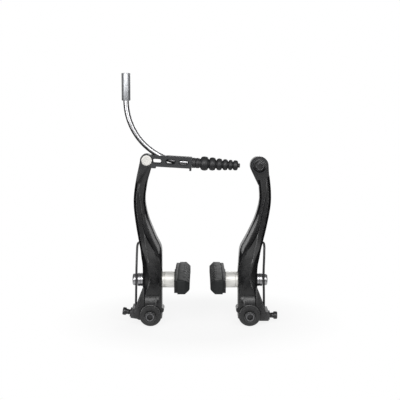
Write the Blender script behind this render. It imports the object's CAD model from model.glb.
"""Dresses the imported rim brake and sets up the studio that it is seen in.

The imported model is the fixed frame. The sizes here are millimetres in that same
frame: X runs across the wheel, Z up, and the front of the brake is -Y. A piece of
one side is drawn in the left arm's own frame, with the pivot at x = 0 and +X
towards the wheel, and the right side is its mirror. Pieces are modelled in
millimetres on the bench and brought to metres when they are settled.
"""

import logging
import math
from abc import ABC, abstractmethod
from collections.abc import Callable, Iterator, Sequence
from contextlib import contextmanager
from dataclasses import dataclass, field
from enum import Enum
from functools import cache

import bmesh
import bpy
from mathutils import Matrix, Vector


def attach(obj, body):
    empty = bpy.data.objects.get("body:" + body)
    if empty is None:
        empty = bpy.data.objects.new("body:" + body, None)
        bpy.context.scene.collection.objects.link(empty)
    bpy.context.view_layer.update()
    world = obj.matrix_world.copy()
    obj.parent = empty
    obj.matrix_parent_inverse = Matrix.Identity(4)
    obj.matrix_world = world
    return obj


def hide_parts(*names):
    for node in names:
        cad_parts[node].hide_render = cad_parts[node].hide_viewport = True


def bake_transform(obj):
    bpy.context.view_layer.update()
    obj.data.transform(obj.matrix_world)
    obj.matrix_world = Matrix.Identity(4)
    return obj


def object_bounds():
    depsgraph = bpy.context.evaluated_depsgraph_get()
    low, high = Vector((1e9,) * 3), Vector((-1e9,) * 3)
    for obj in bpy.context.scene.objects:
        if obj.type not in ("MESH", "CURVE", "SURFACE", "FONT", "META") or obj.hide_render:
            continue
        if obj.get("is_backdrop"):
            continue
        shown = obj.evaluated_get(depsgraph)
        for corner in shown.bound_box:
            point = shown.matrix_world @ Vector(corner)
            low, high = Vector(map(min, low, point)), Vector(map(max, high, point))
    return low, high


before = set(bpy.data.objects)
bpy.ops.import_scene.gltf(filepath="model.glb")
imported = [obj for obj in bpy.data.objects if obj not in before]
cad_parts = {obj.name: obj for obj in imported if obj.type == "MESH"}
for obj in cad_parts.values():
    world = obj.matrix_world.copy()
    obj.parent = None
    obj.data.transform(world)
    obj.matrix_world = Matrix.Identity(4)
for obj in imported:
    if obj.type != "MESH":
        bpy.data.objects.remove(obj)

log = logging.getLogger("brake")

Pair = tuple[float, float]
Point = tuple[float, float, float]
Colour = tuple[float, float, float]
Piece = bpy.types.Object
Socket = bpy.types.NodeSocket

METRES_PER_MM = 0.001

# Facets round a turned piece, from small pieces to large ones
FEW_STEPS = 32
SOME_STEPS = 48
ROUND_STEPS = 64
FINE_STEPS = 96

# Points of a drawn mesh, and of a kept node, that lie closer become one, in millimetres
MERGE_DISTANCE = 0.0005
WELD_DISTANCE = 0.002

# Angles between two faces: the least that is shaded as an edge, the most that counts as
# flat, and the least that is broken on a kept node
SMOOTH_ANGLE = math.radians(32)
FLAT_ANGLE = math.radians(1)
BROKEN_ANGLE = math.radians(35)

# Sockets of a colour mix, which bear the same names as those of its other kinds
MIX_FIRST = 6
MIX_SECOND = 7
MIX_RESULT = 2


class Side(Enum):
    """The side of the wheel that a piece belongs to, as seen in the photograph."""

    LEFT = "left"
    RIGHT = "right"

    @property
    def body(self) -> str:
        """Name of the body that swings on this side."""
        return f"{self.value}_swing"

    @property
    def adjuster(self) -> str:
        """Name of the body of this side's tension screw."""
        return f"{self.value}_adjuster"

    @property
    def lean(self) -> float:
        """Outward lean of this side's arm, in degrees."""
        return RIGHT_LEAN if self is Side.RIGHT else 0.0

    @property
    def holder_turn(self) -> Matrix:
        """Turn of this side's spring holder about its pivot."""
        return Matrix.Rotation(0.0 if self is Side.RIGHT else LEFT_HOLDER_TURN, 4, "Y")

    def node(self, piece: str) -> str:
        """Name of this side's node of that piece."""
        return f"{self.value}_{piece}"


class Join(Enum):
    """How a second solid is put together with a first."""

    ADD = "UNION"
    CUT = "DIFFERENCE"


# Places of the main parts, in millimetres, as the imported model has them
BOSS_SPACING = 68.6
ARM_LENGTH = 107.0
RIGHT_LEAN = 3.7
LEFT_HOLDER_TURN = math.radians(9.0)
LINK_SLOPE = math.radians(3.4)
LINK_PIN_X = -2.0
LINK_Y = -17.8
LINK_LENGTH = 30.8
END_PLATE = 1.5
ARM_INNER_X = 8.0
ARM_OUTER_X = 5.4
LEAN_START = 30.0
HOOK_Y = -16.6
HOOK_Z = 50.0
ANCHOR_X = -6.4
ANCHOR_Z = 103.1
ANCHOR_BACK = 8.5
ANCHOR_FRONT = 16.8
PAD_Y = -13.0
PAD_Z = 23.3
BALL_X = (ARM_INNER_X - ARM_OUTER_X) / 2
HALF_ARM = (ARM_INNER_X + ARM_OUTER_X) / 2

# Turns that bring a piece drawn along +X to another direction
ALONG_X = Matrix.Identity(4)
TO_FRONT = Matrix.Rotation(math.radians(-90), 4, "Z")
TO_TOP = Matrix.Rotation(math.radians(-90), 4, "Y")


def on_side(side: Side) -> Matrix:
    """Place of one side's own frame.

    Args:
        side: the side of the wheel.

    Returns:
        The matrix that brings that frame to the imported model's, in millimetres.
    """
    if side is Side.LEFT:
        return Matrix.Translation((-BOSS_SPACING / 2, 0, 0))
    return Matrix.Translation((BOSS_SPACING / 2, 0, 0)) @ Matrix.Scale(-1, 4, (1, 0, 0))


def at_front(x: float, z: float) -> Matrix:
    """Place in a side's own frame for a piece drawn along +X that runs to the front."""
    return Matrix.Translation((x, 0, z)) @ TO_FRONT


def on_stud(side: Side, turn: float = 0.0) -> Matrix:
    """Place of the pad's stud, with x along it from the centre of the ball seats."""
    middle = Matrix.Translation((BALL_X, PAD_Y, PAD_Z))
    return on_side(side) @ middle @ Matrix.Rotation(turn, 4, "Z")


def on_link() -> Matrix:
    """Place of the link, with x along it from its pin."""
    pin = Matrix.Translation((LINK_PIN_X, LINK_Y, ARM_LENGTH))
    return on_side(Side.LEFT) @ pin @ Matrix.Rotation(LINK_SLOPE, 4, "Y")


def deselect_all() -> None:
    """Leaves object mode on and nothing selected."""
    if bpy.context.object and bpy.context.object.mode != "OBJECT":
        bpy.ops.object.mode_set(mode="OBJECT")
    bpy.ops.object.select_all(action="DESELECT")


def take_up(piece: Piece) -> None:
    """Makes one piece the active and only selected one."""
    deselect_all()
    piece.select_set(True)
    bpy.context.view_layer.objects.active = piece


@contextmanager
def editing(piece: Piece) -> Iterator[None]:
    """Keeps a piece in edit mode for a while, with all of it selected at the start."""
    take_up(piece)
    bpy.ops.object.mode_set(mode="EDIT")
    bpy.ops.mesh.select_mode(type="VERT")
    bpy.ops.mesh.select_all(action="SELECT")
    try:
        yield
    finally:
        bpy.ops.object.mode_set(mode="OBJECT")


def pick_points(piece: Piece, wanted: Callable[[Vector], bool]) -> None:
    """Selects the points whose place passes a test.

    Args:
        piece: the piece in edit mode.
        wanted: gets a point's place and says whether it is selected.
    """
    bpy.ops.mesh.select_mode(type="VERT")
    mesh = bmesh.from_edit_mesh(piece.data)
    for vert in mesh.verts:
        vert.select_set(wanted(vert.co))
    mesh.select_flush_mode()
    bmesh.update_edit_mesh(piece.data)


def pick_faces(piece: Piece, wanted: Callable[[Vector], bool]) -> None:
    """Selects the faces whose middle passes a test.

    Args:
        piece: the piece in edit mode.
        wanted: gets a face's middle and says whether it is selected.
    """
    bpy.ops.mesh.select_mode(type="FACE")
    mesh = bmesh.from_edit_mesh(piece.data)
    for face in mesh.faces:
        face.select_set(wanted(face.calc_center_median()))
    mesh.select_flush_mode()
    bmesh.update_edit_mesh(piece.data)


def first_point(name: str, place: Point) -> Piece:
    """Adds a piece that is a single point, from which an outline is drawn out.

    Args:
        name: the piece's name.
        place: the point's place.

    Returns:
        The piece, in object mode.
    """
    deselect_all()
    bpy.ops.mesh.primitive_plane_add(size=1.0)
    piece = bpy.context.object
    piece.name = name
    with editing(piece):
        bpy.ops.mesh.merge(type="CENTER")
        bpy.ops.transform.translate(value=place)
    return piece


def draw_on(steps: Sequence[Vector]) -> None:
    """Extrudes the selected point by one step after another."""
    for step in steps:
        bpy.ops.mesh.extrude_region_move(TRANSFORM_OT_translate={"value": step})


def steps_between(places: Sequence[Point]) -> list[Vector]:
    """Steps from each place of a list to the next."""
    return [Vector(b) - Vector(a) for a, b in zip(places, places[1:])]


def spun(name: str, outline: Sequence[Pair], steps: int = ROUND_STEPS) -> Piece:
    """Turns an outline about the X axis, as on a lathe.

    Args:
        name: the piece's name.
        outline: pairs of the distance along X and the radius.
        steps: the number of facets round the axis.

    Returns:
        The closed piece, round the X axis.
    """
    places = [(along, 0.0, radius) for along, radius in outline]
    piece = first_point(name, places[0])
    with editing(piece):
        draw_on(steps_between(places))
        bpy.ops.mesh.select_all(action="SELECT")
        bpy.ops.mesh.spin(steps=steps, angle=math.tau, center=(0, 0, 0), axis=(1, 0, 0))
        bpy.ops.mesh.select_all(action="SELECT")
        bpy.ops.mesh.remove_doubles(threshold=MERGE_DISTANCE)
        bpy.ops.mesh.normals_make_consistent(inside=False)
    return piece


def rod_outline(places: Sequence[Pair]) -> list[Pair]:
    """Outline of a solid rod: the pairs given, closed at the axis at both ends."""
    return [(places[0][0], 0.0), *places, (places[-1][0], 0.0)]


def rim(end: float, radius: float, insets: Sequence[Pair]) -> list[Pair]:
    """Rounded rim at the end of a turned stretch.

    Args:
        end: where the stretch ends along X.
        radius: its radius.
        insets: pairs of the distance before the end and the depth under the radius.

    Returns:
        The rim's part of the outline.
    """
    return [(end - along, radius - under) for along, under in insets]


def plate(name: str, outline: Sequence[Pair], back: float, front: float) -> Piece:
    """Draws a flat outline and gives it a thickness.

    Args:
        name: the piece's name.
        outline: pairs of x and z, as seen from the front.
        back: distance of the back face in front of the posts' plane.
        front: distance of the front face in front of that plane.

    Returns:
        The closed plate.
    """
    places = [(x, -back, z) for x, z in outline]
    piece = first_point(name, places[0])
    with editing(piece):
        draw_on(steps_between(places))
        bpy.ops.mesh.select_all(action="SELECT")
        bpy.ops.mesh.edge_face_add()
        bpy.ops.mesh.extrude_region_move(TRANSFORM_OT_translate={"value": (0, back - front, 0)})
        bpy.ops.mesh.select_all(action="SELECT")
        bpy.ops.mesh.normals_make_consistent(inside=False)
    return piece


def block(name: str, low: Point, high: Point) -> Piece:
    """Adds a block between two corners."""
    deselect_all()
    middle = (Vector(low) + Vector(high)) / 2
    bpy.ops.mesh.primitive_cube_add(size=1.0, location=middle)
    piece = bpy.context.object
    piece.name = name
    piece.scale = Vector(high) - Vector(low)
    bpy.ops.object.transform_apply(location=True, rotation=True, scale=True)
    return piece


def turn_to(piece: Piece, place: Matrix) -> Piece:
    """Moves a piece on the bench and applies the move to its mesh.

    Args:
        piece: the piece to move.
        place: the matrix that moves it, in millimetres.

    Returns:
        The same piece.
    """
    take_up(piece)
    piece.matrix_world = place @ piece.matrix_world
    bpy.ops.object.transform_apply(location=True, rotation=True, scale=True)
    if place.determinant() < 0:
        with editing(piece):
            bpy.ops.mesh.normals_make_consistent(inside=False)
    return piece


def copied(piece: Piece) -> Piece:
    """Copies a piece on the bench, with a mesh of its own."""
    take_up(piece)
    bpy.ops.object.duplicate(linked=False)
    return bpy.context.object


def one_for_each_side(model: Piece) -> Iterator[tuple[Side, Piece]]:
    """Shares out a piece that is modelled once and used on both sides.

    Args:
        model: the dressed piece on the bench, named without its side.

    Returns:
        Each side in turn with a piece of its own, named after the side.
    """
    name = model.name
    for side in Side:
        piece = model if side is Side.RIGHT else copied(model)
        piece.name = f"{side.value}_{name}"
        yield side, piece


def round_bar(name: str, radius: float, start: float, end: float, place: Matrix,
              steps: int = ROUND_STEPS) -> Piece:
    """Adds a plain round bar along X, moved to its place.

    Args:
        name: the piece's name.
        radius: the bar's radius.
        start: where it starts along X.
        end: where it ends along X.
        place: the matrix that brings it to its place.
        steps: the number of facets round it.

    Returns:
        The closed bar.
    """
    bar = spun(name, rod_outline([(start, radius), (end, radius)]), steps)
    return turn_to(bar, place)


def stadium(name: str, outline: Sequence[Pair], half: float, place: Matrix) -> Piece:
    """Adds a bar along X with a long round-ended section that is tall in Z.

    Args:
        name: the piece's name.
        outline: pairs of the distance along X and the radius of the round ends.
        half: half of the straight stretch between them.
        place: the matrix that brings it to its place.

    Returns:
        The closed bar.
    """
    bar = spun(name, rod_outline(outline), ROUND_STEPS)
    with editing(bar):
        pick_points(bar, lambda p: p.z > 0.001)
        bpy.ops.transform.translate(value=(0, 0, half))
        pick_points(bar, lambda p: p.z < -0.001)
        bpy.ops.transform.translate(value=(0, 0, -half))
    return turn_to(bar, place)


def hexagon(name: str, radius: float, start: float, end: float) -> Piece:
    """Adds a six-sided bar along X, for a socket."""
    return round_bar(name, radius, start, end, ALONG_X, steps=6)


def apply_modifier(piece: Piece, kind: str, **settings: object) -> None:
    """Adds a modifier to a piece and applies it at once.

    Args:
        piece: the piece.
        kind: the modifier's type.
        **settings: the modifier's own settings.
    """
    take_up(piece)
    modifier = piece.modifiers.new(kind.lower(), kind)
    for key, value in settings.items():
        setattr(modifier, key, value)
    bpy.ops.object.modifier_apply(modifier=modifier.name)


def combine(piece: Piece, other: Piece, join: Join) -> Piece:
    """Adds a second solid to a piece or cuts it out, and removes the second solid."""
    apply_modifier(piece, "BOOLEAN", operation=join.value, object=other, solver="EXACT")
    bpy.data.objects.remove(other, do_unlink=True)
    return piece


def soften(piece: Piece, width: float, segments: int = 2,
           angle: float = 30.0) -> Piece:
    """Rounds the edges of a piece that are sharper than an angle.

    Args:
        piece: the piece on the bench.
        width: width of the rounding, in millimetres.
        segments: the number of facets across it.
        angle: the least angle of an edge that is rounded, in degrees.

    Returns:
        The same piece.
    """
    apply_modifier(piece, "BEVEL", width=width, segments=segments, limit_method="ANGLE",
                   angle_limit=math.radians(angle), use_clamp_overlap=True)
    return piece


def settle(piece: Piece, place: Matrix) -> Piece:
    """Brings a finished piece from the bench to its place, in metres, and smooths its shading.

    Args:
        piece: the finished piece.
        place: the matrix that brings it to its place, in millimetres.

    Returns:
        The same piece, with its object at the origin.
    """
    turn_to(piece, Matrix.Scale(METRES_PER_MM, 4) @ place)
    take_up(piece)
    bpy.ops.object.shade_smooth_by_angle(angle=SMOOTH_ANGLE)
    return piece


def swept(name: str, route: Sequence[Vector], radius: float, sides: int) -> Piece:
    """Draws a round wire along a smooth route.

    Args:
        name: the piece's name.
        route: the points that the wire passes.
        radius: the wire's radius.
        sides: the number of facets round the wire.

    Returns:
        The closed wire as a mesh.
    """
    deselect_all()
    bpy.ops.curve.primitive_nurbs_path_add()
    wire = bpy.context.object
    wire.name = name
    wire.data.splines.clear()
    line = wire.data.splines.new("BEZIER")
    line.bezier_points.add(len(route) - 1)
    for knot, place in zip(line.bezier_points, route):
        knot.co = place
        knot.handle_left_type = "AUTO"
        knot.handle_right_type = "AUTO"
    line.resolution_u = 6
    wire.data.dimensions = "3D"
    wire.data.bevel_depth = radius
    wire.data.bevel_resolution = max(0, sides // 4 - 1)
    wire.data.use_fill_caps = True
    take_up(wire)
    bpy.ops.object.convert(target="MESH")
    with editing(wire):
        bpy.ops.mesh.remove_doubles(threshold=MERGE_DISTANCE)
        bpy.ops.mesh.normals_make_consistent(inside=False)
    return wire


class Nodes:
    """The node tree of a material or of the room while it is being built."""

    def __init__(self, owner: bpy.types.Material | bpy.types.World, output: str,
                 position: str = "Object") -> None:
        """Starts an empty tree with its output and a position source."""
        owner.use_nodes = True
        self.tree = owner.node_tree
        self.tree.nodes.clear()
        self.output = self.add(output)
        self.position = self.add("ShaderNodeTexCoord").outputs[position]

    def add(self, kind: str, **values: object) -> bpy.types.Node:
        """Adds a node and sets its named inputs or properties.

        Args:
            kind: the node's type.
            **values: names of inputs or properties, with _ for a space in an input's name.

        Returns:
            The new node.
        """
        node = self.tree.nodes.new(kind)
        for key, value in values.items():
            if hasattr(node, key):
                setattr(node, key, value)
            else:
                node.inputs[key.replace("_", " ")].default_value = value
        return node

    def link(self, start: Socket, end: Socket) -> None:
        """Joins an output to an input."""
        self.tree.links.new(start, end)

    def noise(self, size: float, detail: float = 2.0,
              stretch: Point = (1.0, 1.0, 1.0)) -> Socket:
        """Adds a noise pattern.

        Args:
            size: the size of its features, in millimetres.
            detail: how much finer noise lies on it.
            stretch: how closely it is packed along each axis.

        Returns:
            The pattern's value.
        """
        mapping = self.add("ShaderNodeMapping", Scale=stretch)
        texture = self.add("ShaderNodeTexNoise", Scale=1 / (size * METRES_PER_MM), Detail=detail)
        self.link(self.position, mapping.inputs["Vector"])
        self.link(mapping.outputs["Vector"], texture.inputs["Vector"])
        return texture.outputs["Fac"]

    def ranged(self, value: Socket, results: Pair, span: Pair = (0.3, 0.7),
               curve: str = "LINEAR") -> Socket:
        """Maps a value from one range to another.

        Args:
            value: the value.
            results: the results at the start and at the end of its range.
            span: the start and the end of its range.
            curve: how the result rises between them.

        Returns:
            The result.
        """
        node = self.add("ShaderNodeMapRange", interpolation_type=curve, From_Min=span[0],
                        From_Max=span[1], To_Min=results[0], To_Max=results[1])
        self.link(value, node.inputs["Value"])
        return node.outputs["Result"]

    def reckoned(self, operation: str, first: Socket, second: Socket) -> Socket:
        """Puts two values together by an operation and returns the result."""
        node = self.add("ShaderNodeMath", operation=operation)
        self.link(first, node.inputs[0])
        self.link(second, node.inputs[1])
        return node.outputs[0]

    def blended(self, share: Socket, first: Colour | Socket, second: Colour | Socket) -> Socket:
        """Mixes two colours by a share and returns the result."""
        node = self.add("ShaderNodeMix", data_type="RGBA")
        for place, colour in ((MIX_FIRST, first), (MIX_SECOND, second)):
            if isinstance(colour, Socket):
                self.link(colour, node.inputs[place])
            else:
                node.inputs[place].default_value = (*colour, 1.0)
        self.link(share, node.inputs["Factor"])
        return node.outputs[MIX_RESULT]

    def bumped(self, height: Socket, depth: float, strength: float,
               before: Socket | None = None) -> Socket:
        """Turns a height pattern into a normal.

        Args:
            height: the pattern.
            depth: the depth of its features, in millimetres.
            strength: how much of it shows.
            before: a normal that it lies on.

        Returns:
            The normal.
        """
        node = self.add("ShaderNodeBump", Distance=depth * METRES_PER_MM, Strength=strength)
        self.link(height, node.inputs["Height"])
        if before is not None:
            self.link(before, node.inputs["Normal"])
        return node.outputs["Normal"]


@dataclass(frozen=True)
class Finish(ABC):
    """What every finish has: its colour, how it varies, and its sheen.

    Each kind of finish adds its own fine relief.
    """

    name: str
    colour: Colour
    roughness: float
    metallic: float = 0.0
    specular: float = 0.5
    tone: float = 0.08
    tone_size: float = 9.0
    sheen_tone: float = 0.12

    def shade(self, factor: float) -> Colour:
        """The finish's colour made lighter or darker."""
        return tuple(min(1.0, part * factor) for part in self.colour)

    @abstractmethod
    def relief(self, nodes: Nodes) -> Socket:
        """The finish's fine relief as a normal."""

    def build(self) -> bpy.types.Material:
        """Makes the material.

        Returns:
            A node material on object coordinates.
        """
        material = bpy.data.materials.new(self.name)
        nodes = Nodes(material, "ShaderNodeOutputMaterial")
        shader = nodes.add("ShaderNodeBsdfPrincipled", Metallic=self.metallic,
                           Specular_IOR_Level=self.specular)
        patches = nodes.ranged(nodes.noise(self.tone_size, 3.0), (0.0, 1.0))
        colour = nodes.blended(patches, self.shade(1 - self.tone), self.shade(1 + self.tone))
        spots = nodes.noise(self.tone_size / 3)
        rough = nodes.ranged(spots, (self.roughness * (1 - self.sheen_tone),
                                     min(1.0, self.roughness * (1 + self.sheen_tone))))
        nodes.link(colour, shader.inputs["Base Color"])
        nodes.link(rough, shader.inputs["Roughness"])
        nodes.link(self.relief(nodes), shader.inputs["Normal"])
        nodes.link(shader.outputs["BSDF"], nodes.output.inputs["Surface"])
        return material


@dataclass(frozen=True)
class SatinPaint(Finish):
    """Dark coating on forged alloy, with a fine blasted grain under it."""

    grain: float = 0.18
    depth: float = 0.0015

    def relief(self, nodes: Nodes) -> Socket:
        """Blasted grain on a faint waviness."""
        wavy = nodes.bumped(nodes.noise(3.5, 1.0), depth=0.02, strength=0.1)
        return nodes.bumped(nodes.noise(self.grain), self.depth, strength=0.35, before=wavy)


@dataclass(frozen=True)
class TurnedMetal(Finish):
    """Metal turned on a lathe, with tool marks across its axis."""

    across: Point = (1.0, 0.03, 0.03)
    pitch: float = 0.16
    depth: float = 0.006

    def relief(self, nodes: Nodes) -> Socket:
        """Fine marks packed along the axis, on a soft grain."""
        grain = nodes.bumped(nodes.noise(0.4), depth=0.004, strength=0.25)
        marks = nodes.noise(self.pitch, stretch=self.across)
        return nodes.bumped(marks, self.depth, strength=0.5, before=grain)


@dataclass(frozen=True)
class PolishedMetal(Finish):
    """Bright plated or polished metal with hardly any relief."""

    def relief(self, nodes: Nodes) -> Socket:
        """A trace of drawing marks."""
        return nodes.bumped(nodes.noise(4.0, 0.0), depth=0.001, strength=0.05)


@dataclass(frozen=True)
class MouldedRubber(Finish):
    """Rubber with a matt spark-eroded skin."""

    grain: float = 0.22
    depth: float = 0.03

    def relief(self, nodes: Nodes) -> Socket:
        """Skin grain on soft unevenness."""
        soft = nodes.bumped(nodes.noise(2.2), depth=0.05, strength=0.35)
        return nodes.bumped(nodes.noise(self.grain, 4.0), self.depth, strength=0.45, before=soft)


@dataclass(frozen=True)
class MouldedPlastic(Finish):
    """Filled nylon with a fine even texture."""

    def relief(self, nodes: Nodes) -> Socket:
        """Fine leathery texture."""
        return nodes.bumped(nodes.noise(0.3, 3.0), depth=0.02, strength=0.4)


@cache
def material_of(finish: Finish) -> bpy.types.Material:
    """The one material of a finish."""
    return finish.build()


ARM_BLACK = SatinPaint("satin_black_arm", (0.004, 0.004, 0.0045), 0.28)
LINK_GREY = SatinPaint("dark_plated_link", (0.022, 0.023, 0.025), 0.38, metallic=0.3, grain=0.12)
BOLT_BLACK = SatinPaint("black_bolt_steel", (0.005, 0.005, 0.0055), 0.24, grain=0.14)
SOCKET_STEEL = PolishedMetal("worn_socket_steel", (0.13, 0.13, 0.135), 0.34, metallic=0.9)
WASHER_BLACK = MouldedPlastic("black_washer", (0.005, 0.005, 0.0055), 0.45)
HOLDER_BLACK = MouldedPlastic("black_holder", (0.014, 0.014, 0.015), 0.55)
SCREW_BLACK = SatinPaint("black_screw_steel", (0.018, 0.018, 0.019), 0.3, metallic=0.4, grain=0.1)
SPRING_STEEL = PolishedMetal("spring_wire_steel", (0.018, 0.018, 0.019), 0.4, metallic=0.3)
BRIGHT_STEEL = PolishedMetal("bright_plated_steel", (0.36, 0.36, 0.37), 0.3, metallic=1.0)
BUSH_STEEL = TurnedMetal("turned_bush_steel", (0.50, 0.49, 0.47), 0.38, metallic=1.0,
                         across=(0.03, 1.0, 0.03))
SPACER_ALLOY = TurnedMetal("pale_spacer_alloy", (0.72, 0.71, 0.68), 0.5, metallic=0.4, depth=0.003)
PIN_ALLOY = PolishedMetal("pale_pin_alloy", (0.58, 0.57, 0.545), 0.6, metallic=0.2)
LEAD_CHROME = PolishedMetal("bright_lead_chrome", (0.44, 0.44, 0.45), 0.30, metallic=1.0, tone=0.02)
FERRULE_ALLOY = TurnedMetal("satin_ferrule_alloy", (0.48, 0.49, 0.51), 0.48, metallic=0.85,
                            tone=0.03, across=(0.03, 0.03, 1.0), depth=0.0006)
LINER_PLASTIC = MouldedPlastic("pale_liner", (0.75, 0.75, 0.70), 0.35)
BOOT_RUBBER = MouldedRubber("black_boot_rubber", (0.012, 0.012, 0.013), 0.5)
PAD_RUBBER = MouldedRubber("grey_pad_rubber", (0.011, 0.012, 0.0125), 0.62, specular=0.22,
                           grain=0.3)
CARRIER_BLACK = SatinPaint("black_pad_carrier", (0.008, 0.008, 0.009), 0.62, specular=0.25)


def dress(piece: Piece, finish: Finish) -> Piece:
    """Gives a piece one finish all over."""
    piece.data.materials.clear()
    piece.data.materials.append(material_of(finish))
    return piece


def dress_faces(piece: Piece, finish: Finish,
                wanted: Callable[[Vector], bool]) -> None:
    """Gives some faces of a piece a second finish.

    Args:
        piece: the piece on the bench, already dressed.
        finish: the second finish.
        wanted: gets a face's middle and says whether it has that finish.
    """
    piece.data.materials.append(material_of(finish))
    place = len(piece.data.materials) - 1
    with editing(piece):
        pick_faces(piece, wanted)
        piece.active_material_index = place
        bpy.ops.object.material_slot_assign()


def hand_over(piece: Piece, body: str, slot: str, node: str) -> None:
    """Tells the frame where a finished piece rides and what it stands for.

    Args:
        piece: the finished piece.
        body: the body that it moves with.
        slot: the record's material slot that it takes its finish from.
        node: the node that it replaces.
    """
    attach(piece, body)
    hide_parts(node)
    log.info("%s: %d faces, on %s, for %s", piece.name, len(piece.data.polygons), body, node)


def keep_node(name: str, finish: Finish, edge: float = 0.2) -> None:
    """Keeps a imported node, gives it a finish and breaks its sharp edges with modifiers.

    Args:
        name: the node's name.
        finish: its finish.
        edge: width of the broken edges, in millimetres, or 0 for none.
    """
    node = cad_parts[name]
    node.data.materials.clear()
    node.data.materials.append(material_of(finish))
    if edge:
        node.modifiers.new("merge", "WELD").merge_threshold = WELD_DISTANCE * METRES_PER_MM
        flat = node.modifiers.new("flat_faces", "DECIMATE")
        flat.decimate_type = "DISSOLVE"
        flat.angle_limit = FLAT_ANGLE
        broken = node.modifiers.new("broken_edges", "BEVEL")
        broken.width = edge * METRES_PER_MM
        broken.segments = 2
        broken.limit_method = "ANGLE"
        broken.angle_limit = BROKEN_ANGLE
        broken.harden_normals = True
    log.info("%s: kept, %s", name, finish.name)


@dataclass(frozen=True)
class ArmLines:
    """Crease lines of an arm, as pairs of a height above the pivot and a place.

    The first lines are places across the arm, and outer_bevel_width is a width. The
    back face and the lines that end in front are distances in front of the posts' plane.
    """

    outer_edge: tuple[Pair, ...] = (
        (-3, -5.8), (6, -5.4), (17, -5.4), (34, -5.4), (39.5, -6.2), (45, -6.8), (50.5, -7.8),
        (61.6, -9.7), (73, -11.1), (80, -11.3), (88, -10.5), (97, -8.9))
    inner_edge_above: tuple[Pair, ...] = (
        (40, 0), (44.5, 0), (47.7, -0.6), (53.2, -3.3), (61.6, -6.8), (67, -8.8), (73, -10.3),
        (80, -11.2), (88, -10.4), (97, -8.7))
    bevel_line: tuple[Pair, ...] = (
        (-3, 7.1), (39.5, 7.1), (44.5, 5.2), (47.7, 3.8), (50.5, 2.3), (56, 0.2), (61.6, -1.9),
        (67, -3.1), (73, -3.7), (80, -4.5), (88, -3.6), (97, -1.9))
    step_top_line: tuple[Pair, ...] = (
        (-3, 6.8), (39.5, 6.6), (44.5, 3.6), (50.5, 0), (56, -2.8), (61.6, -5.8), (67, -8.4),
        (97, -8.4))
    lower_line: tuple[Pair, ...] = (
        (-3, 6.3), (21.5, 6.2), (25.3, 5.2), (29.5, 3.7), (34, 1.3), (39.5, -2.4), (45, -4.4),
        (97, -9))
    ridge_left: tuple[Pair, ...] = (
        (-3, -4), (9.6, -3.9), (13, -3.5), (17, -2.8), (21.5, -0.6), (25.3, 0), (29.5, -0.9),
        (34, -1.9), (39.5, -3.3), (44.5, -5), (50.5, -7), (97, -10))
    ridge_right: tuple[Pair, ...] = (
        (-3, 3.8), (9.6, 3.7), (13, 3.2), (17, 2.5), (21.5, 1), (25.3, 0.4), (29.5, -0.5),
        (97, -10))
    outer_bevel_width: tuple[Pair, ...] = ((-3, 1), (45, 1.2), (60, 1.7), (97, 1.9))
    back_face: tuple[Pair, ...] = (
        (-3, 7), (34, 7), (47, 7.6), (56, 8.8), (67, 10.2), (80, 11.6), (97, 12.4))
    outer_wall_front: tuple[Pair, ...] = ((-3, 19.2), (25, 19), (40, 18.6), (56, 18.1), (97, 17.8))
    outer_bevel_front: tuple[Pair, ...] = (
        (-3, 20.6), (25, 20.3), (45, 20.1), (67, 20), (97, 20))
    ridge_left_front: tuple[Pair, ...] = (
        (-3, 22.4), (9.4, 22.5), (12.6, 21.3), (16, 21.6), (21.5, 22), (29.5, 22), (34, 21.8),
        (39.5, 21.5), (44.5, 21), (50.5, 20.4), (67, 20.1), (97, 20.1))
    ridge_right_front: tuple[Pair, ...] = (
        (-3, 22.4), (9.4, 22.5), (12.6, 21.3), (16, 21.6), (21.5, 22), (29.5, 21.9), (39.5, 21.4),
        (44.5, 20.9), (50.5, 20.3), (67, 20.1), (97, 20.1))
    lower_front: tuple[Pair, ...] = (
        (-3, 20.8), (17, 20.7), (25.3, 21), (34, 21.3), (39.5, 21.2), (44.5, 20.7), (50.5, 20.2),
        (67, 20.1), (97, 20.1))
    step_foot_front: tuple[Pair, ...] = (
        (-3, 20.6), (34, 20.6), (39.5, 20.4), (44.5, 20.1), (50.5, 19.9), (56, 19.9), (61.6, 20),
        (67, 20.2), (97, 20.2))
    step_top_front: tuple[Pair, ...] = (
        (-3, 20.6), (34, 20.7), (44.5, 20.9), (50.5, 20.9), (61.6, 20.8), (73, 20.5), (97, 20.2))
    bevel_front: tuple[Pair, ...] = (
        (-3, 20.5), (34, 20.6), (44.5, 21.1), (50.5, 21.2), (61.6, 21), (73, 20.7), (97, 20.3))


def smooth_at(height: float, pairs: Sequence[Pair]) -> float:
    """Value of the smooth curve through a list of pairs.

    Args:
        height: where the value is wanted.
        pairs: the heights and values that the curve passes.

    Returns:
        The value there.
    """
    last = len(pairs) - 1
    index = next((i for i in range(last) if height < pairs[i + 1][0]), last - 1)

    def rise(i: int) -> float:
        """Slope of the curve at one of the pairs."""
        low, high = pairs[max(i - 1, 0)], pairs[min(i + 1, last)]
        return (high[1] - low[1]) / (high[0] - low[0])

    (start, first), (end, second) = pairs[index], pairs[index + 1]
    span = end - start
    t = min(max((height - start) / span, 0.0), 1.0)
    return (first * (2 * t**3 - 3 * t**2 + 1) + rise(index) * span * (t**3 - 2 * t**2 + t)
            + second * (3 * t**2 - 2 * t**3) + rise(index + 1) * span * (t**3 - t**2))


def lean_at(height: float, lean: float) -> float:
    """How far an arm leans outwards at a height, as a move along X."""
    return -math.tan(math.radians(lean)) * max(0.0, height - LEAN_START)


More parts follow.
